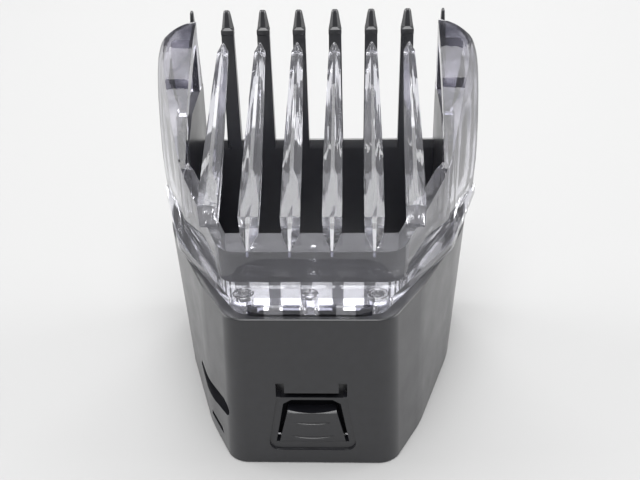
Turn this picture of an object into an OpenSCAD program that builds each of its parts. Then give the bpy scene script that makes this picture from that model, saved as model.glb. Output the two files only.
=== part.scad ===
// Clip-on guide comb of a body groomer: a black sleeve in two shells with a rear comb,
// a clear toothed hood seated in the sleeve's rim, and a press tab at the front.
// Millimetres. Origin at the middle of the footprint, on the bottom rim.
// +Z up along the fins, -Y towards the press tab.

/* [Sleeve] */
// Width of the sleeve's rim across the back
sleeve_w = 42.2; // [42:0.1:42.6]
// Depth from the tab face to the back face
sleeve_d = 39.6; // [39:0.2:41]
// Height of the sleeve's rim
rim_h = 21; // [20:0.5:22]
// Wall thickness of the shells
wall = 1.6; // [1.4:0.1:1.8]
// How much each side leans in at the foot, across the back
draft = 1.0; // [0.8:0.1:1.2]

/* [Rear comb] */
// Distance between neighbouring teeth and fins
pitch = 5; // [4.9:0.05:5.1]
// Height of the fins' tips
fin_top = 47.3; // [46.5:0.1:48]
// Height at which the fins stand on the rear wall
rear_wall_h = 28.2; // [27:0.1:29]
// Thickness of a fin at its foot
fin_t = 2.05; // [1.6:0.05:2.4]

/* [Clear hood] */
// Width of the hood across the back, where its wings are widest
hood_w = 46.4; // [46:0.1:46.8]
// Thickness of the clear flange
flange_t = 1.2; // [1:0.1:1.4]
// Width of a clear tooth at its shoulder
tooth_w = 2.4; // [2:0.1:2.6]
// Distance from the fins' front faces to the clear teeth's tips
tip_gap = 4.7; // [4:0.1:5.5]

/* [Press tab] */
// Height of the tab's free end
tab_top = 8; // [7:0.1:8.2]
// Height of the tab's hinge line
hinge_h = 3.2; // [3:0.1:3.6]
// Gap round the tab
tab_gap = 0.4; // [0.3:0.05:0.5]

/* [Hidden] */

black = [0.13, 0.135, 0.145];
clear = [0.85, 0.88, 0.92, 0.45];
fit = 0.05;                              // running clearance round the hinge barrel

front_y = -sleeve_d / 2;
back_y = sleeve_d / 2;
// half-widths of the sleeve's outline, [at the foot, at the rim]
front_x = [9.9, 9.4];                     // corner between the front and the diagonals
diag_x = [13.7, 13.5];                    // slight bend in the diagonals, at diag_y
knee_x = [sleeve_w / 2 - 2.2, sleeve_w / 2 - 0.6];   // where the diagonals meet the sides
rear_point = sleeve_w / 2 + 0.2;          // out to the rear corners' points, before rounding
rear_x = [rear_point - draft, rear_point];
diag_y = -12;
knee_y = 4.5;
seam_y = 9;                              // the two shells meet here
seam_gap = 0.06;
fin_y = back_y - 2.2;                    // front faces of the fins and the rear wall
bay_x = 16.8;                            // half-width of the space between the side plates

hood_front = -13.3;                      // face of the hood's front wall
hood_back = 16.9;
hood_floor = 18.2;                       // lower edge of the skirt inside the rim
ledge_h = 26.4;                          // ledge in front of the teeth
ledge_back = [-10.4, 27.3];              // the ledge's rear edge, [y, z]
shoulder = [-10.9, 29.7];                // where a tooth turns from its nose to its slope
mid_slope = [-1.6, 35.7];
tip = [fin_y - tip_gap, 44.2];
crest = [hood_back + 0.5, 46.4];
hood_front_x = 10.8;                      // corner between the hood's front and its diagonals
hood_knee_y = 1;
wing = hood_w / 2 + 0.35;                 // out to the rear corners' points, before rounding
skirt = [19.3, 16.9];                     // half-widths of the skirt: at the back, at the knee
// levels of the hood, [height, half-width at the back, half-width at the knee]: the skirt sits
// in the rim, then the body swells and closes in at the crest
hood_skirt = [[hood_floor, skirt.x, skirt.y], [rim_h + 0.2, skirt.x, skirt.y]];
hood_belly = [[rim_h + 0.6, wing - 0.35, 17.6], [24, wing - 0.15, 17.65], [28, wing, 17.7],
              [33, wing - 0.1, 17.7], [38, wing - 0.4, 17.6], [41, wing - 0.75, 17.4],
              [42.8, wing - 1.2, 17.2], [44.5, wing - 2.15, 16.8], [46.1, wing - 4.65, 15.9],
              [46.6, wing - 5.8, 15.4]];

tooth_x = [for (i = [0:5]) (i - 2.5) * pitch];

// ---- rounded outlines ------------------------------------------------------------------
// A corner is [x, y, radius]. An outline runs anticlockwise round convex corners.
function unit(v) = v / norm(v);
function out_normal(a, b) = let (d = unit(b - a)) [d.y, -d.x];
function flat(p) = [p.x, p.y];
function arc(a, p, b, inset, n) =
    let (n1 = out_normal(flat(a), flat(p)),
         n2 = out_normal(flat(p), flat(b)),
         c = flat(p) - p.z * (n1 + n2) / (1 + n1 * n2),
         a1 = atan2(n1.y, n1.x),
         a2 = atan2(n2.y, n2.x),
         sweep = (a2 - a1 + 360) % 360)
    [for (k = [0:n]) c + (p.z - inset) * [cos(a1 + sweep * k / n), sin(a1 + sweep * k / n)]];
function outline(corners, inset = 0, n = 5) =
    let (m = len(corners))
    [for (i = [0:m - 1])
        each arc(corners[(i + m - 1) % m], corners[i], corners[(i + 1) % m], inset, n)];
// the right-hand corners, front to back, followed by their mirror images
function both_sides(right) =
    concat(right, [for (i = [len(right) - 1:-1:0]) [-right[i].x, right[i].y, right[i].z]]);

function mix(pair, t) = pair[0] + (pair[1] - pair[0]) * t;
function sleeve_corners(z) =
    let (t = z / rim_h)
    both_sides([[mix(front_x, t), front_y, 3], [mix(diag_x, t), diag_y, 25],
                [mix(knee_x, t), knee_y, 30], [mix(rear_x, t), back_y, 3.5]]);
hood_slope = (hood_belly[1][2] - hood_front_x) / (hood_knee_y - hood_front);
function hood_corners(rear, knee) =
    both_sides([[hood_front_x, hood_front, 3], [knee, hood_knee_y, 20], [rear, hood_back, 2]]);

// A closed solid through a stack of outlines. Each level is [z, points].
module loft(levels) {
    n = len(levels[0][1]);
    m = len(levels);
    points = [for (level = levels) each [for (p = level[1]) [p.x, p.y, level[0]]]];
    sides = [for (j = [0:m - 2], i = [0:n - 1])
        let (a = j * n + i, b = j * n + (i + 1) % n)
        each [[a, b + n, b], [a, a + n, b + n]]];
    foot = [for (i = [0:n - 1]) i];
    head = [for (i = [n - 1:-1:0]) (m - 1) * n + i];
    polyhedron(points, concat([foot], sides, [head]));
}

// ---- helpers ---------------------------------------------------------------------------
// a profile in the YZ plane, extruded from x0 to x1
module side_profile(points, x0, x1)
    translate([x0, 0, 0]) rotate([90, 0, 90]) linear_extrude(x1 - x0) polygon(points);
// a profile in the XZ plane, extruded from y0 to y1
module face_profile(points, y0, y1)
    translate([0, y1, 0]) rotate([90, 0, 0]) linear_extrude(y1 - y0) polygon(points);
module block(low, high) translate(low) cube(high - low);
module both_hands() {
    children();
    mirror([1, 0, 0]) children();
}
// the right half of a profile that is symmetric about x = 0
function mirrored(half) = concat(half, [for (i = [len(half) - 1:-1:0]) [-half[i].x, half[i].y]]);

// ---- sleeve ----------------------------------------------------------------------------
module sleeve_body(inset, z0, z1)
    loft([for (z = [z0, z1]) [z, outline(sleeve_corners(z), inset)]]);
// the space inside the walls: it hollows the sleeve, and trims the pieces that stand on its walls
module sleeve_inside() sleeve_body(wall, -1, rim_h + 1);
module sleeve_wall()
    difference() {
        sleeve_body(0, 0, rim_h);
        sleeve_inside();
    }

// the tab's outline in the XZ plane, grown by g at its sides and top
tab_low = 4.05;
tab_high = 2.95;
function tab_outline(g, top) = mirrored([[tab_low + g, hinge_h], [tab_high + g, top]]);
recess = 0.3;
recess_x = 5.3;
recess_top = 9.85;
slot_low = 9.85;                          // slot above the tab, for the hook's mould
slot_high = 10.7;
hole_top = 12.1;
barrel_r = 0.7;
hinge_y = front_y + recess + barrel_r;
tab_back = front_y + recess + 2 * barrel_r;
lip_fit = 0.08;                           // clearance between the wall and the tab's lip
lip_t = 0.4;

module tab_cutout() {
    deep = wall + 1;
    face_profile(tab_outline(tab_gap, tab_top + 1.5), front_y - 1, front_y + deep);
    block([-3.75, front_y - 1, slot_low], [3.75, front_y + deep, slot_high]);
    both_hands() block([3.25, front_y - 1, slot_low + 0.3], [4.25, front_y + deep, hole_top]);
    // trough for the hinge barrel
    translate([0, hinge_y, hinge_h]) rotate([0, 90, 0])
        cylinder(r = barrel_r + fit, h = 2 * (tab_low + tab_gap), center = true, $fn = 48);
}
module tab_recess()
    face_profile(mirrored([[recess_x - 1.6, 2], [recess_x - 0.5, 2.4], [recess_x, 3.6],
                           [recess_x - 1.1, recess_top]]),
                 front_y - 1, front_y + recess);
// two slots in the left diagonal wall: the length window and a small foot slot
slot_slope = 0.42;                        // mean slope of the diagonal wall along the slots
module on_left_diagonal(y, z)
    translate([-mix(diag_x, z / rim_h) - slot_slope * (y - diag_y), y, z])
        rotate([0, 0, -atan2(1, slot_slope)]) children();
module left_slots() {
    on_left_diagonal(-12.6, 6.3)
        rotate([90, 0, 0]) linear_extrude(2 * wall + 2, center = true) {
            block_2d(11, 2.3);
            for (s = [-1, 1]) translate([5.5 * s, 0]) circle(d = 2.3, $fn = 32);
        }
    on_left_diagonal(-12, 2.1)
        rotate([90, 0, 0]) linear_extrude(2 * wall + 2, center = true) block_2d(4.6, 0.9);
}
module block_2d(w, h) square([w, h], center = true);

prong_x = 7.9;
prong_y = -15.9;
prong_r = 1.25;
lip_h = 17.6;                             // under-cut that the hood's prongs snap under
module prong_lip()
    block([prong_x - 1.2, front_y + wall - 0.2, lip_h], [prong_x + 1.2, front_y + wall + 0.7, lip_h + 0.9]);

module front_shell() {
    color(black) {
        difference() {
            intersection() {
                sleeve_wall();
                block([-30, -30, -1], [30, seam_y - seam_gap / 2, rim_h + 1]);
            }
            tab_recess();
            tab_cutout();
            left_slots();
        }
        both_hands() prong_lip();
    }
}

plate_t = 1.1;                            // side plates that carry the side fins
module rear_wall()
    side_profile([[fin_y, 0], [back_y - wall + 0.2, 0], [back_y - wall + 0.2, rim_h],
                  [back_y, rim_h], [back_y, rear_wall_h - 1.2], [back_y - 1, rear_wall_h],
                  [fin_y + 0.6, rear_wall_h], [fin_y, rear_wall_h - 1.3]],
                 -bay_x, bay_x);
module side_plate()
    side_profile([[seam_y + 0.4, rim_h - 3], [back_y - wall + 0.2, rim_h - 3],
                  [back_y - wall + 0.2, rim_h], [back_y, rim_h], [back_y - 0.2, 36.5],
                  [fin_y, 36.5], [seam_y, 35.5], [4.8, 32.6], [4.8, 30], [seam_y + 0.4, 23]],
                 bay_x, bay_x + plate_t);
module rear_shell()
    color(black) {
        intersection() {
            sleeve_wall();
            block([-30, seam_y + seam_gap / 2, -1], [30, 30, rim_h + 1]);
        }
        rear_wall();
        both_hands() side_plate();
    }

// ---- rear comb -------------------------------------------------------------------------
notch_h = 44.6;                           // above it a fin narrows to its rounded tip
module fin(x, foot_z, foot_t, notch_t, tip_t)
    color(black) translate([x, 0, 0]) intersection() {
        face_profile(mirrored([[foot_t / 2, foot_z], [notch_t / 2, notch_h], [tip_t / 2, fin_top]]),
                     0, 30);
        side_profile([[fin_y, foot_z], [back_y - 0.2, foot_z], [back_y - 0.6, 40],
                      [back_y - 1.0, notch_h + 0.6], [fin_y + 0.7, fin_top], [fin_y + 0.1, fin_top],
                      [fin_y, notch_h]], -5, 5);
    }
module rear_fin(i) fin(tooth_x[i], rear_wall_h, fin_t, 1.73, 0.7);
module side_fin(s) fin(s * (bay_x + plate_t / 2), 36.5, plate_t, 0.8, 0.45);

// ---- clear hood ------------------------------------------------------------------------
hood_wall = 1.6;
window_x = 16.6;                          // half-width of the toothed window
module hood_body(inset, levels)
    loft([for (level = levels) [level[0], outline(hood_corners(level[1], level[2]), inset)]]);
// the wings' upper edge, front to back, [y, z]: it climbs from the toothed wall to the teeth's slope
wing_edge = [[-20, 24], [-4, 29.5], [0, 31.5], [3, 35.4], [6.5, 39.8], tip, crest];
// everything under the wings' edge, lowered by d along z
module under_slope(d, x)
    side_profile(concat([[-20, hood_floor - 2]], [for (p = wing_edge) [p.x, p.y - d]],
                        [[crest.x + 2, crest.y - d], [crest.x + 2, hood_floor - 2]]), -x, x);
// the top of the wall that carries the teeth, front to back, [y, z]
wall_top = [[hood_front, ledge_h], ledge_back, [-4, 29.5], [0, 31]];
module hood_window() {
    side_profile(concat([[hood_front - 1, ledge_h - 0.3]], wall_top,
                        [[hood_back + 1, 31], [hood_back + 1, 50], [hood_front - 1, 50]]),
                 -window_x, window_x);
    // room for the side plates and their fins
    block([-bay_x - plate_t - 0.15, 4.6, hood_floor - 1],
          [bay_x + plate_t + 0.15, hood_back + 1, 36.7]);
}
flange_corners = both_sides([[8, -19.1, 4], [17.9, -2.6, 10], [wing + 0.05, 16.5, 1.2]]);
flange_z = rim_h;                         // the flange rests on the sleeve's rim
module hood_inside()
    intersection() {
        // inside, the skirt's width carries on up through the flange
        hood_body(hood_wall, concat([[hood_floor - 1, skirt.x, skirt.y],
                                     [flange_z + flange_t + 0.1, skirt.x, skirt.y],
                                     [flange_z + flange_t + 0.5, hood_belly[0][1], hood_belly[0][2]]],
                                    [for (k = [1:len(hood_belly) - 1]) hood_belly[k]]));
        block([-30, ledge_back.x + 0.05, hood_floor - 2], [30, 40, 60]);
    }
module clear_hood()
    color(clear) difference() {
        union() {
            intersection() {
                hood_body(0, concat(hood_skirt, hood_belly));
                under_slope(0, 30);
            }
            translate([0, 0, flange_z]) linear_extrude(flange_t) polygon(outline(flange_corners));
        }
        // the bay is open between the wings, and roofed inside them
        intersection() {
            hood_inside();
            union() {
                under_slope(roof_t, 29);
                block([-window_x, -30, hood_floor - 2], [window_x, 30, 60]);
            }
        }
        hood_window();
        for (x = [-prong_x, prong_x])
            translate([x, prong_y, flange_z - 1]) cylinder(r = prong_r + 0.02, h = 4, $fn = 48);
        translate([0, prong_y, flange_z - 1]) cylinder(r = pin_r + 0.02, h = 4, $fn = 48);
    }

tooth_side = concat([[hood_front, ledge_h], shoulder, mid_slope, tip],
                    [[tip.x, 42.6], [mid_slope.x, 32.4], [-5.5, 28.98], ledge_back]);
module tooth_plan(nose)
    linear_extrude(60) polygon(mirrored([[0.3, nose], [tooth_w / 2, nose + 2.4],
        [tooth_w / 2 - 0.1, mid_slope.x], [0.75, tip.x - 1.4], [0.3, tip.x]]));
// where the hood's diagonal side meets the line of a tooth
function tooth_root(i) = hood_front + (abs(tooth_x[i]) - hood_front_x) / hood_slope;
module clear_tooth(i)
    color(clear) intersection() {
        translate([tooth_x[i], 0, 0]) tooth_plan(max(hood_front, tooth_root(i)));
        side_profile(tooth_side, -20, 20);
    }
// rib under each wing, in line with the side fins
roof_t = 2.2;                             // thickness of a wing's roof, measured upright
rib_x = [window_x, 18.2];                 // the rib's inner and outer face
rib_y = [8.6, 15.2];
rib_drop = 2.6;                           // how far the rib hangs below the roof
module side_tooth(s)
    color(clear) mirror([s < 0 ? 1 : 0, 0, 0]) difference() {
        intersection() {
            block([rib_x[0], rib_y[0], 30], [rib_x[1], rib_y[1], 50]);
            under_slope(roof_t, 30);
        }
        under_slope(roof_t + rib_drop, 31);
    }

pin_r = 0.9;
prong_foot = lip_h - 1.2;                 // a prong's lower end
nose_x = [-1.1, 0];                       // nose that catches under the lip, clear of the corner
module hood_prongs()
    color(clear) both_hands() translate([prong_x, prong_y, 0]) {
        translate([0, 0, prong_foot])
            cylinder(r = prong_r, h = flange_z + flange_t - prong_foot, $fn = 48);
        block([nose_x[0], front_y + wall + fit - prong_y, prong_foot], [nose_x[1], 0, lip_h - fit]);
    }
module hood_centre_pin()
    color(clear) translate([0, prong_y, flange_z - 1.6]) cylinder(r = pin_r, h = flange_t + 1.9, $fn = 48);

// ---- inside the sleeve -----------------------------------------------------------------
module guide_rails()
    color(black) intersection() {
        both_hands() {
            block([12.9, -4.4, 1], [19, -3, 17]);
            block([15.2, 2.6, 1], [20.5, 4, 17]);
        }
        sleeve_inside();
    }
module seam_clips()
    color(black) intersection() {
        both_hands() for (z = [3, 13]) block([17.1, seam_y - 2.6, z], [21, seam_y + 2.6, z + 3]);
        sleeve_inside();
    }

// ---- press tab -------------------------------------------------------------------------
module release_tab()
    color(black) {
        difference() {
            union() {
                intersection() {
                    face_profile(tab_outline(0, tab_top), front_y, 0);
                    side_profile([[front_y + recess, hinge_h], [front_y + recess, 5],
                                  [front_y + 0.05, tab_top], [tab_back, tab_top],
                                  [tab_back, hinge_h]], -10, 10);
                }
                translate([0, hinge_y, hinge_h]) rotate([0, 90, 0])
                    cylinder(r = barrel_r, h = 2 * tab_low, center = true, $fn = 48);
            }
            // two curved grip grooves across the tab's face
            for (z = [3.75, 5.9]) translate([0, front_y + recess - 0.1, z + 11])
                rotate([90, 0, 0]) groove(11, 2.3);
        }
        // thin lip behind the wall, which closes the gap round the tab
        face_profile(mirrored([[tab_low + 1, hinge_h + 0.6], [tab_high + 1.2, tab_top + 2]]),
                     front_y + wall + lip_fit, front_y + wall + lip_fit + lip_t);
        // hook that holds the sleeve on the appliance
        side_profile([[tab_back - 0.1, 5.2], [tab_back + 1.5, 6.9], [tab_back + 1.5, 7.6],
                      [tab_back - 0.1, 7.6]], -1.8, 1.8);
    }
module groove(r, half)
    intersection() {
        rotate_extrude($fn = 120) translate([r, 0]) circle(r = 0.22, $fn = 16);
        translate([-half, -r - 1, -1]) cube([2 * half, 3, 2]);
    }

front_shell();
rear_shell();
clear_hood();
release_tab();
hood_prongs();
hood_centre_pin();
guide_rails();
seam_clips();
side_fin(-1);  // side_fin_left
side_fin(1);  // side_fin_right
side_tooth(-1);  // side_tooth_left
side_tooth(1);  // side_tooth_right
rear_fin(0);  // rear_fin_1
rear_fin(1);  // rear_fin_2
rear_fin(2);  // rear_fin_3
rear_fin(3);  // rear_fin_4
rear_fin(4);  // rear_fin_5
rear_fin(5);  // rear_fin_6
clear_tooth(0);  // clear_tooth_1
clear_tooth(1);  // clear_tooth_2
clear_tooth(2);  // clear_tooth_3
clear_tooth(3);  // clear_tooth_4
clear_tooth(4);  // clear_tooth_5
clear_tooth(5);  // clear_tooth_6
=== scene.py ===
"""Clip-on guide comb of a body groomer: the looks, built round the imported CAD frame.

Points are written in millimetres in the frame's own axes: +Z up, -Y towards the press tab.
"""
import math

import bmesh
import bpy
from mathutils import Matrix, Vector


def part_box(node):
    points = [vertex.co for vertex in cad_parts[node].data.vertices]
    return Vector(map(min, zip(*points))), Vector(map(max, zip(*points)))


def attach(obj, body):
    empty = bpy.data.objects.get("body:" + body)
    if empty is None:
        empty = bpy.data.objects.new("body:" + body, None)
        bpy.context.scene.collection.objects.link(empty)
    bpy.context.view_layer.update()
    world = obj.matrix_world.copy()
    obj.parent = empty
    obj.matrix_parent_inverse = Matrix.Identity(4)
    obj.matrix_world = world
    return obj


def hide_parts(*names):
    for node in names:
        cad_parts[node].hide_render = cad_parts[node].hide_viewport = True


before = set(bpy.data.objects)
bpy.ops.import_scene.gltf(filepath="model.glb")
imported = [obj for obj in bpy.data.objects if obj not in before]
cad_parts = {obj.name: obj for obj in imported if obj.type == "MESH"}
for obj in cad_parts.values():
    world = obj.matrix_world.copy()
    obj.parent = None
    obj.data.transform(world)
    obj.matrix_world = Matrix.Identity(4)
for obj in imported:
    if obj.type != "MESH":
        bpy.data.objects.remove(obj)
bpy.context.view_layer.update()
MM = 0.001
FINS = 6


# ---- sizes, from the frame where it gives them -----------------------------------------
def box_mm(node):
    """(lowest corner, highest corner) of a CAD node, in millimetres."""
    return [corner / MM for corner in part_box(node)]


sleeve_lo, sleeve_hi = box_mm("front_shell")
rear_hi = box_mm("rear_shell")[1]
hood_lo, hood_hi = box_mm("clear_hood")
fin_lo, fin_hi = box_mm("rear_fin_1")
tab_hi = box_mm("release_tab")[1]
prong_lo, prong_hi = box_mm("hood_prongs")
pin_lo, pin_hi = box_mm("hood_centre_pin")

FRONT_Y = sleeve_lo.y
BACK_Y = rear_hi.y
RIM_H = sleeve_hi.z
HALF_W = rear_hi.x
FIN_Y = fin_lo.y
FIN_TOP = fin_hi.z
SILL_H = fin_lo.z
PITCH = (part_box(f"rear_fin_{FINS}")[0].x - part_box("rear_fin_1")[0].x) / MM / (FINS - 1)

HINGE_Z = 3.2                  # the press tab's hinge line
TAB_FOOT_X = 4.05              # its half-widths at the foot and at the free end
TAB_TOP_X = 2.95
LIP_ABOVE = 2.0                # how far its lip stands above the free end
TAB_TOP = tab_hi.z - LIP_ABOVE

WALL = 1.6
# half-widths of the sleeve's corners, (at the foot, at the rim), and where they lie
FRONT_X = (9.9, 9.4)
DIAG_X = (13.7, 13.5)
KNEE_X = (HALF_W - 2.2, HALF_W - 0.6)
REAR_X = (HALF_W - 0.8, HALF_W + 0.2)
DIAG_Y = -12.0
KNEE_Y = 4.5
SLOT_SLOPE = 0.42              # how fast the diagonal wall widens towards the rear
SEAM_Y = 9.0                   # between the front and the rear shell
SEAM_GAP = 0.06
PLATE_X = (16.8, 17.9)         # the plates inside the wings

FLANGE_T = 1.2
HOOD_WALL = 1.6
HOOD_FRONT = -13.3
HOOD_BACK = hood_hi.y - 0.02
HOOD_FRONT_X = 10.8            # the hood's half-width at its front corner
HOOD_SLOPE = 0.479             # and how fast its sides widen from there
WING = hood_hi.x + 0.33
WINDOW_X = 16.6                # half the opening between the wings
SHOULDER = (-10.9, 29.7)       # (y, z) where a clear tooth's nose meets its slope
PRONG_R = 1.25
PRONG_X = prong_hi.x - PRONG_R
PRONG_Y = (pin_lo.y + pin_hi.y) / 2


# ---- outlines --------------------------------------------------------------------------
def outline(corners, inset=0.0, n=12):
    """Anticlockwise outline round convex corners (x, y, radius), moved in by inset."""
    points = []
    count = len(corners)
    for i, (x, y, radius) in enumerate(corners):
        here = Vector((x, y))
        before = Vector(corners[i - 1][:2])
        after = Vector(corners[(i + 1) % count][:2])
        d1, d2 = (here - before).normalized(), (after - here).normalized()
        n1, n2 = Vector((d1.y, -d1.x)), Vector((d2.y, -d2.x))
        centre = here - radius * (n1 + n2) / (1 + n1.dot(n2))
        a1, a2 = math.atan2(n1.y, n1.x), math.atan2(n2.y, n2.x)
        sweep = (a2 - a1) % (2 * math.pi)
        for k in range(n + 1):
            a = a1 + sweep * k / n
            points.append(centre + (radius - inset) * Vector((math.cos(a), math.sin(a))))
    return points


def both_sides(right):
    return right + [(-x, y, r) for x, y, r in reversed(right)]


def mirrored(half):
    return half + [(-x, y) for x, y in reversed(half)]


def mix(pair, t):
    return pair[0] + (pair[1] - pair[0]) * t


def sleeve_outline(z, inset, n=10):
    t = z / RIM_H
    return outline(both_sides([(mix(FRONT_X, t), FRONT_Y, 3), (mix(DIAG_X, t), DIAG_Y, 25),
                               (mix(KNEE_X, t), KNEE_Y, 30), (mix(REAR_X, t), BACK_Y, 3.5)]),
                   inset, n)


def hood_outline(rear, knee, inset, n=12):
    return outline(both_sides([(HOOD_FRONT_X, HOOD_FRONT, 3), (knee, 1, 20),
                               (rear, HOOD_BACK, 2)]), inset, n)


def smooth(points, steps):
    """A Catmull-Rom curve through the points, with steps stretches between each two."""
    pts = [Vector(p) for p in points]
    pts = [2 * pts[0] - pts[1]] + pts + [2 * pts[-1] - pts[-2]]
    curve = []
    for i in range(1, len(pts) - 2):
        p0, p1, p2, p3 = pts[i - 1:i + 3]
        for k in range(steps):
            t = k / steps
            curve.append(0.5 * (2 * p1 + (p2 - p0) * t + (2 * p0 - 5 * p1 + 4 * p2 - p3) * t * t
                                + (3 * p1 - p0 - 3 * p2 + p3) * t ** 3))
    return curve + [pts[-2]]


def arc(centre, radius, start, end, n=10):
    """Points on a circle from start to end, in degrees."""
    angles = [math.radians(start + (end - start) * k / n) for k in range(n + 1)]
    return [(centre[0] + radius * math.cos(a), centre[1] + radius * math.sin(a)) for a in angles]


def fin_places():
    """Each fin's number, from 1, with its x."""
    return [(i + 1, (i - (FINS - 1) / 2) * PITCH) for i in range(FINS)]


# ---- meshes ----------------------------------------------------------------------------
def mesh_object(name, verts, faces):
    mesh = bpy.data.meshes.new(name)
    mesh.from_pydata([Vector(v) * MM for v in verts], [], faces)
    obj = bpy.data.objects.new(name, mesh)
    bpy.context.scene.collection.objects.link(obj)
    bm = bmesh.new()
    bm.from_mesh(mesh)
    bmesh.ops.recalc_face_normals(bm, faces=bm.faces)
    bm.to_mesh(mesh)
    bm.free()
    return obj


def loft(name, rings, ring_ends=False):
    """A closed solid through rings of 3-D points. ring_ends joins the last ring to the first."""
    n, m = len(rings[0]), len(rings)
    verts = [p for ring in rings for p in ring]
    faces = []
    for j in range(m if ring_ends else m - 1):
        low, high = j * n, (j + 1) % m * n
        for i in range(n):
            k = (i + 1) % n
            faces.append((low + i, low + k, high + k, high + i))
    if not ring_ends:
        faces += [tuple(range(n))[::-1], tuple(range((m - 1) * n, m * n))]
    return mesh_object(name, verts, faces)


def flat_ring(points, z):
    return [(p[0], p[1], z) for p in points]


def prism(name, points, axis, low, high):
    """A straight solid on an outline: YZ points along x, XZ points along y, XY points along z."""
    place = {"x": lambda p, t: (t, p[0], p[1]), "y": lambda p, t: (p[0], t, p[1]),
             "z": lambda p, t: (p[0], p[1], t)}[axis]
    return loft(name, [[place(p, t) for p in points] for t in (low, high)])


def block(name, low, high):
    (x0, y0, z0), (x1, y1, z1) = low, high
    return prism(name, [(x0, y0), (x1, y0), (x1, y1), (x0, y1)], "z", z0, z1)


def turns(n):
    """n angles, all the way round."""
    return [2 * math.pi * k / n for k in range(n)]


def lathe(name, x, profile, n=40):
    """A solid of revolution on the prongs' line, on a profile of (radius, z) going up."""
    return loft(name, [[(x + r * math.cos(a), PRONG_Y + r * math.sin(a), z) for a in turns(n)]
                       for r, z in profile])


def across(x, half):
    """A ring on both sides of x, from the points (distance from x, y, z) of one side."""
    return ([(x + px, py, pz) for px, py, pz in half]
            + [(x - px, py, pz) for px, py, pz in reversed(half)])


def settle(obj):
    """Applies obj's modifiers."""
    graph = bpy.context.evaluated_depsgraph_get()
    graph.update()
    made = bpy.data.meshes.new_from_object(obj.evaluated_get(graph))
    old = obj.data
    obj.modifiers.clear()
    obj.data = made
    made.name = obj.name
    bpy.data.meshes.remove(old)
    return obj


def boolean(obj, operation, tools):
    for tool in tools:
        mod = obj.modifiers.new("cut", "BOOLEAN")
        mod.operation = operation
        mod.solver = "EXACT"
        mod.object = tool
        settle(obj)
        bpy.data.objects.remove(tool)
    return obj


def cut(obj, *tools):
    return boolean(obj, "DIFFERENCE", tools)


def weld(obj, *tools):
    return boolean(obj, "UNION", tools)


def keep(obj, *tools):
    return boolean(obj, "INTERSECT", tools)


def copy(obj, name):
    other = obj.copy()
    other.data = obj.data.copy()
    other.name = name
    bpy.context.scene.collection.objects.link(other)
    return other


def mirror_x(obj, name):
    """A copy of obj on the other side of x = 0."""
    other = copy(obj, name)
    other.data.transform(Matrix.Scale(-1, 4, (1, 0, 0)))
    other.data.flip_normals()
    return other


def tidy(obj, gap=0.004, flat=1.0):
    """Joins points closer than gap, and dissolves what boolean cuts leave on flat faces."""
    bm = bmesh.new()
    bm.from_mesh(obj.data)
    bmesh.ops.remove_doubles(bm, verts=bm.verts, dist=gap * MM)
    bmesh.ops.dissolve_degenerate(bm, dist=gap * MM, edges=bm.edges)
    bmesh.ops.dissolve_limit(bm, angle_limit=math.radians(flat), verts=bm.verts, edges=bm.edges)
    bm.to_mesh(obj.data)
    bm.free()
    return obj


def soften(obj, width, segments=2, angle=32):
    """Rounds the edges sharper than angle, and smooths the shading of the rest."""
    tidy(obj)
    mod = obj.modifiers.new("round", "BEVEL")
    mod.width = width * MM
    mod.segments = segments
    mod.limit_method = "ANGLE"
    mod.angle_limit = math.radians(angle)
    mod.use_clamp_overlap = True
    mod.miter_outer = "MITER_ARC"
    for poly in obj.data.polygons:
        poly.use_smooth = True
    obj.modifiers.new("shade", "WEIGHTED_NORMAL").keep_sharp = True
    return settle(obj)


# ---- materials -------------------------------------------------------------------------
# colours of the clear plastic: its own tint below the wings, painted refraction patches in the
# wings, and painted images of the fins in the flange's bars
CLEAR_TINT = (0.86, 0.86, 0.91)
PAINTED_FIN_IMAGE = (0.02, 0.02, 0.03)
BAR_PITCH = 4.15
WING_REFRACTION_DARK = (0.1, 0.1, 0.14)
WING_REFRACTION_LIGHT = (0.52, 0.51, 0.58)


def new_material(name):
    mat = bpy.data.materials.new(name)
    mat.use_nodes = True
    tree = mat.node_tree
    return mat, tree, tree.nodes["Principled BSDF"]


def noise(tree, scale, detail=3.0, stretch=(1, 1, 1)):
    """Noise in the piece's own coordinates, finer along an axis whose stretch is larger."""
    node = tree.nodes.new("ShaderNodeTexNoise")
    node.inputs["Scale"].default_value = scale
    node.inputs["Detail"].default_value = detail
    coords = tree.nodes.new("ShaderNodeTexCoord")
    scaling = tree.nodes.new("ShaderNodeMapping")
    scaling.inputs["Scale"].default_value = stretch
    tree.links.new(coords.outputs["Object"], scaling.inputs["Vector"])
    tree.links.new(scaling.outputs["Vector"], node.inputs["Vector"])
    return node.outputs["Fac"]


def spread(tree, value, low, high):
    """Maps noise from its usual 0.3 to 0.7 to low to high."""
    node = tree.nodes.new("ShaderNodeMapRange")
    node.inputs["From Min"].default_value = 0.3
    node.inputs["From Max"].default_value = 0.7
    node.inputs["To Min"].default_value = low
    node.inputs["To Max"].default_value = high
    tree.links.new(value, node.inputs["Value"])
    return node.outputs["Result"]


def two_tone(tree, value, dark, light, low, high):
    """Goes from dark at low to light at high."""
    node = tree.nodes.new("ShaderNodeValToRGB")
    for stop, position, colour in zip(node.color_ramp.elements, (low, high), (dark, light)):
        stop.position = position
        stop.color = (*colour, 1)
    tree.links.new(value, node.inputs["Fac"])
    return node.outputs["Color"]


def ramp_between(tree, value, low, high):
    """0 below low, 1 above high, and a straight climb between them."""
    node = tree.nodes.new("ShaderNodeMapRange")
    node.inputs["From Min"].default_value = low
    node.inputs["From Max"].default_value = high
    tree.links.new(value, node.inputs["Value"])
    return node.outputs["Result"]


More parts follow.
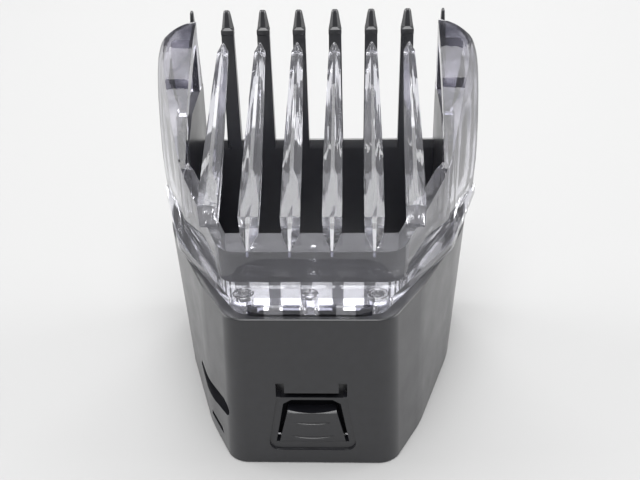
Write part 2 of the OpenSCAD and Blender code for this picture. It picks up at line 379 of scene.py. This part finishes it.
def calculate(tree, operation, *values):
    """A math node on sockets or numbers."""
    node = tree.nodes.new("ShaderNodeMath")
    node.operation = operation
    for socket, value in zip(node.inputs, values):
        if isinstance(value, (int, float)):
            socket.default_value = value
        else:
            tree.links.new(value, socket)
    return node.outputs[0]


def blend_colours(tree, factor, first, second):
    """first where factor is 0, second where it is 1. Each is a colour or a socket."""
    node = tree.nodes.new("ShaderNodeMix")
    node.data_type = "RGBA"
    tree.links.new(factor, node.inputs[0])
    for socket, colour in ((node.inputs[6], first), (node.inputs[7], second)):
        if isinstance(colour, tuple):
            socket.default_value = (*colour, 1)
        else:
            tree.links.new(colour, socket)
    return node.outputs[2]


def bump(tree, shader, height, distance, strength=1.0):
    node = tree.nodes.new("ShaderNodeBump")
    node.inputs["Distance"].default_value = distance
    if isinstance(strength, float):
        node.inputs["Strength"].default_value = strength
    else:
        tree.links.new(strength, node.inputs["Strength"])
    tree.links.new(height, node.inputs["Height"])
    tree.links.new(node.outputs["Normal"], shader.inputs["Normal"])


def moulded_black(name, dark, light, rough, grain, shine=1.0):
    """Black moulding: a fine grain, with slightly uneven shine and colour."""
    mat, tree, shader = new_material(name)
    colour = two_tone(tree, noise(tree, 900, 4), dark, light, 0.3, 0.7)
    tree.links.new(colour, shader.inputs["Base Color"])
    tree.links.new(spread(tree, noise(tree, 260), *rough), shader.inputs["Roughness"])
    shader.inputs["IOR"].default_value = 1.6
    shader.inputs["Specular IOR Level"].default_value = 0.5 * shine
    shader.inputs["Coat Weight"].default_value = 0.3 * shine
    shader.inputs["Coat Roughness"].default_value = 0.22
    bump(tree, shader, noise(tree, 9000, 2), grain * MM)
    return mat


def clear_plastic(name):
    """Polished clear polycarbonate, clear below the wings; in the wings, dark and light patches
    are painted refraction of the black parts behind them.
    """
    mat, tree, shader = new_material(name)
    # dark and light patches painted in the wings: painted refraction of the black parts seen
    # through them
    painted_refraction = two_tone(tree, noise(tree, 230, 3), WING_REFRACTION_DARK, WING_REFRACTION_LIGHT, 0.42, 0.62)
    coords = tree.nodes.new("ShaderNodeTexCoord")
    axes = tree.nodes.new("ShaderNodeSeparateXYZ")
    tree.links.new(coords.outputs["Object"], axes.inputs["Vector"])
    x, y, z = axes.outputs
    # the wings' region, where the painted refraction goes
    outward = ramp_between(tree, calculate(tree, "ABSOLUTE", x), 13.5 * MM, 15.5 * MM)
    wing_refraction_mask = calculate(tree, "MULTIPLY", outward, ramp_between(tree, z, 22 * MM, 33 * MM))
    tint = blend_colours(tree, wing_refraction_mask, CLEAR_TINT, painted_refraction)
    # four dark bars painted in the flange's front edge: a painted image of the black fins as they
    # look through it
    half_pitch = BAR_PITCH / 2
    between = calculate(tree, "PINGPONG", x, half_pitch * MM)
    painted_fin_bars = ramp_between(tree, between, (half_pitch - 1.05) * MM, (half_pitch - 0.95) * MM)
    edge = ramp_between(tree, y, -18.35 * MM, -18.45 * MM)
    middle = ramp_between(tree, calculate(tree, "ABSOLUTE", x), 9.1 * MM, 9.0 * MM)
    painted_fin_bars = calculate(tree, "MULTIPLY", painted_fin_bars, calculate(tree, "MULTIPLY", edge, middle))
    tree.links.new(blend_colours(tree, painted_fin_bars, tint, PAINTED_FIN_IMAGE), shader.inputs["Base Color"])

    shader.inputs["Transmission Weight"].default_value = 0.965
    shader.inputs["IOR"].default_value = 1.585
    tree.links.new(spread(tree, noise(tree, 500), 0.0, 0.05), shader.inputs["Roughness"])
    # drawn out along the teeth, as the flow of the plastic leaves it
    above_flange = ramp_between(tree, z, 25.5 * MM, 28 * MM)
    bump(tree, shader, noise(tree, 220, 2, (6, 0.5, 0.5)), 0.06 * MM, above_flange)
    return mat


satin = moulded_black("black_satin", (0.006, 0.0062, 0.0085), (0.009, 0.0093, 0.0125),
                      (0.32, 0.4), 0.006)
glossy = moulded_black("comb_black", (0.009, 0.0095, 0.0125), (0.012, 0.0125, 0.0165),
                       (0.26, 0.34), 0.004)
# a darker, duller copy of the black, as painted shade: for the tab's lip in its gap and the pieces
# inside the sleeve
shaded_black = moulded_black("inner_black", (0.003, 0.0031, 0.004), (0.005, 0.0051, 0.007),
                      (0.7, 0.8), 0.008, 0.1)
clear = clear_plastic("clear_plastic")


def place(obj, material, body, slot, *nodes):
    """Gives a finished piece its material and its body, and hides the CAD nodes that it stands
    for.
    """
    obj.data.materials.clear()
    obj.data.materials.append(material)
    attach(obj, body)
    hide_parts(*nodes)
    return obj


# ---- sleeve ----------------------------------------------------------------------------
def sleeve_ring(name):
    """The sleeve's wall all round, with rounded rim and foot."""
    r = 0.25
    wall_profile = ([(r - dx, r - dz) for dx, dz in arc((0, 0), r, 90, 0, 4)]
                    + [(r - dx, RIM_H - r + dz) for dx, dz in arc((0, 0), r, 0, 90, 4)]
                    + [(WALL - r + dx, RIM_H - r + dz) for dx, dz in arc((0, 0), r, 90, 0, 4)]
                    + [(WALL - r + dx, r - dz) for dx, dz in arc((0, 0), r, 0, 90, 4)])
    rings = [flat_ring(sleeve_outline(z, inset), z) for inset, z in wall_profile]
    return loft(name, rings, ring_ends=True)


def latch_tools():
    """Cutters for the press tab's opening, and for the slot and square pockets above it."""
    deep = (FRONT_Y - 1, FRONT_Y + WALL + 1)
    blind = FRONT_Y + WALL - 0.3
    gap = 0.42
    opening = mirrored([(TAB_FOOT_X + gap, HINGE_Z), (TAB_TOP_X + 0.1 + gap, 8.9), (2.5, 9.5)])
    return [prism("opening", opening, "y", *deep),
            block("slot", (-3.75, deep[0], 9.85), (3.75, blind, 10.7)),
            block("hole_left", (-4.25, deep[0], 10.15), (-3.25, blind, 12.1)),
            block("hole_right", (3.25, deep[0], 10.15), (4.25, blind, 12.1))]


def latch_recess():
    shape = mirrored([(3.6, 2.05)] + arc((4.1, 3.25), 1.2, -80, 0, 8) + [(4.25, 9.85)])
    return prism("recess", shape, "y", FRONT_Y - 1, FRONT_Y + 0.3)


def wall_point(y, z, depth):
    """A point on the left diagonal wall, depth inside its outer face."""
    x = -mix(DIAG_X, z / RIM_H) - SLOT_SLOPE * (y - DIAG_Y)
    out = Vector((-1, -SLOT_SLOPE, 0)).normalized()
    return Vector((x, y, z)) - depth * out


def wall_cutter(name, points):
    return loft(name, [[wall_point(y, z, depth) for y, z in points] for depth in (-1, WALL + 1)])


def side_slots():
    window = ([(-6.0, 5.1), (-6.15, 5.75), (-7.2, 6.15), (-17.5, 8.05)]
              + arc((-18.0, 7.0), 0.95, 80, 250, 8) + [(-14, 5.0), (-10, 4.55), (-7.2, 4.75)])
    foot = [(-12.2, 1.75), (-12.4, 2.45), (-16.2, 2.6), (-16.8, 1.9)]
    return [wall_cutter("window_slot", window), wall_cutter("foot_slot", foot)]


def front_shell():
    shell = sleeve_ring("front_shell_moulding")
    cut(shell, block("behind", (-40, SEAM_Y - SEAM_GAP / 2, -5), (40, 40, 40)))
    cut(shell, latch_recess(), *latch_tools(), *side_slots())
    soften(shell, 0.09, 2)
    place(shell, satin, "comb", "black_satin", "front_shell")


def rear_shell():
    shell = sleeve_ring("rear_shell_moulding")
    cut(shell, block("ahead", (-40, -40, -5), (40, SEAM_Y + SEAM_GAP / 2, 40)))
    top = SILL_H
    back = prism("back", [(FIN_Y, 0), (BACK_Y - 1.4, 0), (BACK_Y - 1.4, RIM_H), (BACK_Y, RIM_H),
                          (BACK_Y, top - 1.2), (BACK_Y - 1, top), (FIN_Y + 0.6, top),
                          (FIN_Y, top - 1.3)], "x", -PLATE_X[0], PLATE_X[0])
    plate = prism("plate", [(SEAM_Y + 0.4, RIM_H - 3), (BACK_Y - 1.4, RIM_H - 3),
                            (BACK_Y - 1.4, RIM_H), (BACK_Y, RIM_H), (BACK_Y - 0.2, 36.5),
                            (FIN_Y, 36.5), (SEAM_Y, 35.5), (4.8, 32.6), (4.8, 30),
                            (SEAM_Y + 0.4, 23)], "x", PLATE_X[0] - 0.02, PLATE_X[1])
    weld(shell, back, mirror_x(plate, "plate_left"), plate)
    soften(shell, 0.12, 2)
    place(shell, satin, "comb", "black_satin", "rear_shell")


# ---- rear comb -------------------------------------------------------------------------
def fin_section(x, z, front, back, y0, y1, nick):
    """A fin's section at z: front and back are half-widths, nick is the edges' chamfer."""
    half = [(front - nick, y0), (front, y0 + nick), (back, y1 - nick), (back - nick, y1)]
    return [(x + px, py, z) for px, py in mirrored(half)]


def fin(name, x, levels, node, material):
    rings = [fin_section(x, *level) for level in levels]
    obj = soften(loft(name, rings), 0.1, 2, 25)
    place(obj, material, "comb", "comb_black", node)


def rear_fins():
    notch = 44.6
    back = BACK_Y - 0.2
    for number, x in fin_places():
        levels = [(SILL_H - 1.5, 1.03, 1.03, FIN_Y + 0.05, back, 0.12),
                  (SILL_H, 1.02, 1.02, FIN_Y + 0.05, back, 0.12),
                  (notch - 0.7, 0.87, 0.87, FIN_Y + 0.05, back - 0.7, 0.12),
                  (notch - 0.6, 0.9, 0.9, FIN_Y, back - 0.7, 0.12),
                  (notch, 0.9, 0.9, FIN_Y, back - 0.75, 0.12),
                  (notch + 0.35, 0.42, 0.84, FIN_Y + 0.25, back - 0.8, 0.08),
                  (FIN_TOP - 0.45, 0.3, 0.52, FIN_Y + 0.45, back - 1.0, 0.08),
                  (FIN_TOP - 0.12, 0.24, 0.42, FIN_Y + 0.55, back - 1.05, 0.08),
                  (FIN_TOP, 0.12, 0.22, FIN_Y + 0.7, back - 1.15, 0.05)]
        fin(f"rear_fin_{number}_moulding", x, levels, f"rear_fin_{number}", glossy)


def side_fins():
    middle = sum(PLATE_X) / 2
    back = BACK_Y - 0.2
    for side, word in ((-1, "left"), (1, "right")):
        levels = [(36.0, 0.55, 0.55, FIN_Y, back, 0.08),
                  (42.5, 0.42, 0.42, FIN_Y, back - 0.6, 0.08),
                  (44.6, 0.3, 0.34, FIN_Y + 0.1, back - 0.8, 0.06),
                  (FIN_TOP - 0.3, 0.22, 0.24, FIN_Y + 0.45, back - 1.05, 0.05),
                  (FIN_TOP, 0.1, 0.12, FIN_Y + 0.7, back - 1.2, 0.03)]
        fin(f"side_fin_{word}_moulding", side * middle, levels, f"side_fin_{word}", glossy)


# ---- press tab -------------------------------------------------------------------------
def groove(z, half, y):
    """A cutter for a grip groove: a round bar, bent up at both ends and thinner there."""
    bend, radius, n = 11, 0.2, 13
    rings = []
    for k in range(n):
        a = half / bend * (2 * k / (n - 1) - 1)
        r = radius * math.sin(math.pi * (k + 0.6) / (n + 0.2)) ** 0.5
        x, height = bend * math.sin(a), z + bend * (1 - math.cos(a))
        rings.append([(x, y + r * math.cos(t), height + r * math.sin(t)) for t in turns(12)])
    return loft("groove", rings)


def press_tab():
    face = FRONT_Y + 0.3
    back = face + 1.4
    # behind the hinge line the foot slopes up, to stay clear of the wall as the tab is pressed
    foot = HINGE_Z + 0.03
    side = [(face, foot), (face, 5), (FRONT_Y + 0.06, TAB_TOP - 0.35),
            (FRONT_Y + 0.35, TAB_TOP), (back, TAB_TOP), (back, foot + 0.3), (face + 0.7, foot)]
    tab = prism("press_tab", side, "x", -6, 6)
    # the free end dips in the middle, as a finger scoop
    dip = [(x, TAB_TOP - 0.32 + 0.3 * (x / TAB_TOP_X) ** 2) for x in
           [TAB_TOP_X * (k / 8 - 1) for k in range(17)]]
    shape = [(-TAB_FOOT_X, foot), (TAB_FOOT_X, foot)] + dip[::-1]
    keep(tab, prism("tab_shape", shape, "y", FRONT_Y - 2, 0))
    cut(tab, groove(3.75, 2.55, face - 0.03), groove(5.95, 2.1, face - 0.12))
    hook = prism("hook", [(back - 0.1, 5.2), (back + 1.5, 6.9), (back + 1.5, 7.6),
                          (back - 0.1, 7.6)], "x", -1.8, 1.8)
    weld(tab, hook)
    # the lip closes the gap round the tab from behind; it gets the darker, duller black as painted
    # shade in the gap
    lip_shape = mirrored([(TAB_FOOT_X + 1, HINGE_Z + 0.15),
                          (TAB_TOP_X + 1.2, TAB_TOP + LIP_ABOVE - 0.02)])
    lip = prism("tab_lip", lip_shape, "y", FRONT_Y + WALL + 0.09, FRONT_Y + WALL + 0.47)
    place(soften(lip, 0.05, 2), shaded_black, "tab", "inner_black", "release_tab")
    soften(tab, 0.06, 2)
    place(tab, satin, "tab", "black_satin", "release_tab")


# ---- clear hood ------------------------------------------------------------------------
# the hood's levels: (z, half-width at the back, half-width at the knee)
SKIRT = (19.3, 16.9)
BELLY = [(21.6, WING - 0.35, 17.6), (24, WING - 0.15, 17.65), (28, WING, 17.7),
         (33, WING - 0.1, 17.7), (38, WING - 0.4, 17.6), (41, WING - 0.75, 17.4),
         (42.8, WING - 1.2, 17.2), (44.5, WING - 2.15, 16.8), (46.1, WING - 4.65, 15.9),
         (46.6, WING - 5.8, 15.4)]
WING_EDGE = [(-20, 24), (-10, 27.4), (-4, 29.5), (0, 31.6), (3, 35.2), (6.5, 39.6), (12.9, 44.2),
             (HOOD_BACK + 0.6, 46.4)]
TIP = (FIN_Y - 4.7, 44.2)


def hood_loft(name, inset, foot, swell, steps=3, n=12):
    """The hood's body: the skirt from foot to swell, then the belly."""
    levels = [(foot, *SKIRT), (swell, *SKIRT)]
    levels += [tuple(p) for p in smooth(BELLY, steps) if p[0] > swell + 0.3]
    return loft(name, [flat_ring(hood_outline(rear, knee, inset, n), z)
                       for z, rear, knee in levels])


def under_edge(name, drop, half):
    curve = smooth(WING_EDGE, 4)
    points = [(-20, 14)] + [(p.x, p.y - drop) for p in curve]
    points += [(HOOD_BACK + 3, curve[-1].y - drop), (HOOD_BACK + 3, 14)]
    return prism(name, points, "x", -half, half)


def tooth(name, x, root_y):
    """A clear tooth: a knife-edged nose, then a slope with a narrow ridge and chamfered sides."""
    tip_y, tip_z = TIP
    top = [SHOULDER, (-1.6, 35.7), (6, 40.35), (tip_y - 1.2, tip_z - 0.66),
           (tip_y - 0.45, tip_z - 0.3), TIP]
    under = [(-9.2, 27.5), (-2.4, 31.8), (5.2, 37.2), (tip_y - 1.0, 42.1), (tip_y - 0.3, 42.5),
             (tip_y, 42.9)]
    half = [1.2, 1.16, 0.95, 0.78, 0.62, 0.3]
    ridge = [0.3, 0.22, 0.18, 0.16, 0.15, 0.1]
    drop = [0.06, 0.95, 0.9, 0.75, 0.6, 0.4]
    curves = [smooth(c, 5) for c in (top, under, list(zip(half, ridge)), list(zip(drop, drop)))]
    rings = []
    for t, u, (half_w, ridge_w), d in zip(*curves):
        rings.append(across(x, [(ridge_w, t.x, t.y), (half_w, t.x, t.y - d.x),
                                (half_w * 0.92, u.x, u.y)]))
    slope = loft(name, rings)
    y, z = SHOULDER
    deep = 25.6
    nose = [[(0.14, HOOD_FRONT, deep), (0.9, -10.9, deep), (0.9, -10.6, deep)],
            [(0.14, HOOD_FRONT, 26.4), (1.12, -10.4, 27.3), (1.12, -9.6, 27.6)],
            [(0.3, y, z), (1.2, y + 0.1, z - 0.04), (1.2, -9.2, z + 0.3)]]
    weld(slope, loft(name + "_nose", [across(x, ring) for ring in nose]))
    if root_y > HOOD_FRONT:
        cut(slope, block("ahead", (-40, -40, 0), (40, root_y + 0.25, 60)))
    return slope


def hood_shell():
    body = hood_loft("clear_hood_moulding", 0, hood_lo.z, RIM_H + 0.2)
    keep(body, under_edge("edge", 0, 30))
    flange = outline(both_sides([(8, -19.1, 4), (17.9, -2.6, 10), (WING - 0.3, 16.5, 1.2)]))
    weld(body, prism("flange", flange, "z", RIM_H, RIM_H + FLANGE_T))
    hollow = hood_loft("hollow", HOOD_WALL, hood_lo.z - 1, RIM_H + FLANGE_T + 0.1, 1, 3)
    keep(hollow, block("bay", (-30, -10.35, 10), (30, 40, 60)))
    roofed = keep(copy(hollow, "roofed"), under_edge("roof", 2.2, 29))
    open_top = keep(hollow, block("middle", (-WINDOW_X, -30, 10), (WINDOW_X, 40, 60)))
    cut(body, roofed, open_top)
    window = prism("window", [(HOOD_FRONT - 1, 26.1), (HOOD_FRONT, 26.4), (-10.4, 27.3),
                              (-4, 29.5), (0, 31), (18, 31), (18, 50), (HOOD_FRONT - 1, 50)],
                   "x", -WINDOW_X, WINDOW_X)
    room = block("room", (-18.05, 4.6, 17), (18.05, 18, 36.7))
    cut(body, window, room)
    return body


def place_clear(obj, *nodes):
    """Places a clear piece. It throws no shadow, so that light gets through it."""
    obj.visible_shadow = False
    place(obj, clear, "comb", "clear_plastic", *nodes)


def clear_hood():
    body = hood_shell()
    for number, x in fin_places():
        root = HOOD_FRONT + (abs(x) - HOOD_FRONT_X) / HOOD_SLOPE
        weld(body, tooth(f"tooth_{number}", x, max(root, HOOD_FRONT)))
    for x, r in ((-PRONG_X, PRONG_R), (PRONG_X, PRONG_R), (0, pin_hi.x)):
        cut(body, lathe("bore", x, [(r + 0.02, RIM_H - 1), (r + 0.02, RIM_H + 3)]))
    soften(body, 0.1, 2, 30)
    place_clear(body, "clear_hood", "side_tooth_left", "side_tooth_right",
                *[f"clear_tooth_{number}" for number, _ in fin_places()])


def prongs():
    """The clear plugs that hold the hood: dimpled heads in the flange, noses under the lips."""
    top = RIM_H + FLANGE_T
    foot = prong_lo.z
    profile = [(PRONG_R - 0.2, foot), (PRONG_R, foot + 0.2), (PRONG_R, top - 0.15),
               (PRONG_R - 0.15, top), (0.85, top), (0.62, top - 0.12), (0.3, top - 0.42),
               (0.08, top - 0.5)]
    for side, word in ((-1, "left"), (1, "right")):
        x = side * PRONG_X
        plug = lathe(f"prong_{word}", x, profile)
        nose = prism(f"nose_{word}", [(FRONT_Y + WALL + 0.06, foot + 0.25), (PRONG_Y, foot + 0.02),
                                      (PRONG_Y, foot + 1.1), (FRONT_Y + WALL + 0.06, foot + 1.1)],
                     "x", *sorted((x - 1.1 * side, x)))
        weld(plug, nose)
        soften(plug, 0.05, 2)
        place_clear(plug, "hood_prongs")


def centre_pin():
    low, high = pin_lo.z, pin_hi.z
    radius = (pin_hi.x - pin_lo.x) / 2
    profile = [(radius - 0.15, low), (radius, low + 0.15), (radius, high - 0.28),
               (radius - 0.06, high - 0.14), (radius - 0.25, high - 0.04), (radius - 0.55, high)]
    pin = soften(lathe("centre_pin", 0, profile), 0.03, 2)
    place_clear(pin, "hood_centre_pin")


# ---- pieces that keep their CAD shape --------------------------------------------------
def finish_cad_nodes():
    # the inner pieces get the darker, duller black as painted shade inside the sleeve
    for name in ("guide_rails", "seam_clips"):
        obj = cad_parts[name]
        obj.data.materials.clear()
        obj.data.materials.append(shaded_black)


# ---- stage -----------------------------------------------------------------------------
def softbox(name, azimuth, elevation, distance, width, height, power):
    """A soft rectangular light aimed at the comb. Azimuth 0 is behind it, 90 to its right."""
    az, el = math.radians(azimuth), math.radians(elevation)
    aim = Vector((0, 0, 25 * MM))
    away = Vector((math.sin(az) * math.cos(el), math.cos(az) * math.cos(el), math.sin(el)))
    data = bpy.data.lights.new(name, "AREA")
    data.shape = "RECTANGLE"
    data.size, data.size_y = width, height
    data.energy = power
    lamp = bpy.data.objects.new(name, data)
    bpy.context.scene.collection.objects.link(lamp)
    lamp.matrix_world = (Matrix.Translation(aim + away * distance)
                         @ away.to_track_quat("Z", "Y").to_matrix().to_4x4())


def stage():
    bpy.ops.mesh.primitive_plane_add(size=3, location=(0, 0, 0))
    floor = bpy.context.object
    floor.name = "floor"
    mat, tree, shader = new_material("floor_paper")
    shader.inputs["Base Color"].default_value = (0.475, 0.475, 0.475, 1)
    shader.inputs["Roughness"].default_value = 0.7
    bump(tree, shader, noise(tree, 400), 0.02 * MM, 0.3)
    floor.data.materials.append(mat)

    softbox("back_softbox", 0, 33, 0.6, 0.5, 0.32, 2.0)
    softbox("front_softbox", 180, 60, 0.7, 0.6, 0.5, 4.6)
    softbox("top_strip", 0, 86, 0.6, 0.5, 0.14, 0.8)
    for side, word in ((-1, "left"), (1, "right")):
        softbox(f"{word}_softbox", 80 * side, 16, 0.6, 0.4, 0.3, 1.9)

    world = bpy.data.worlds.new("studio")
    world.use_nodes = True
    world.node_tree.nodes["Background"].inputs["Color"].default_value = (1, 1, 1, 1)
    world.node_tree.nodes["Background"].inputs["Strength"].default_value = 0.4
    bpy.context.scene.world = world


def camera():
    """A camera about 27 degrees above the comb, in front of it and a little to its right."""
    elevation = math.radians(27.37)
    target = Vector((0, FIN_Y, SILL_H))
    right = Vector((1, 0.033, -0.019)).normalized()
    ahead = Vector((0, math.cos(elevation), -math.sin(elevation)))
    ahead = (ahead - ahead.dot(right) * right).normalized()
    down = ahead.cross(right)
    # how far the target lies from the camera: to the right, down and ahead, in millimetres
    offset = -0.1175 * right - 14.5 * down + 132.15 * ahead
    data = bpy.data.cameras.new("camera")
    data.lens = 50.625
    data.sensor_width = 36
    data.clip_start = 0.005
    cam = bpy.data.objects.new("camera", data)
    bpy.context.scene.collection.objects.link(cam)
    turn = Matrix((right, -down, -ahead)).transposed().to_4x4()
    cam.matrix_world = Matrix.Translation((target - offset) * MM) @ turn
    bpy.context.scene.camera = cam


camera()
stage()
front_shell()
rear_shell()
rear_fins()
side_fins()
press_tab()
clear_hood()
prongs()
centre_pin()
finish_cad_nodes()
bpy.context.scene.view_settings.view_transform = "Standard"
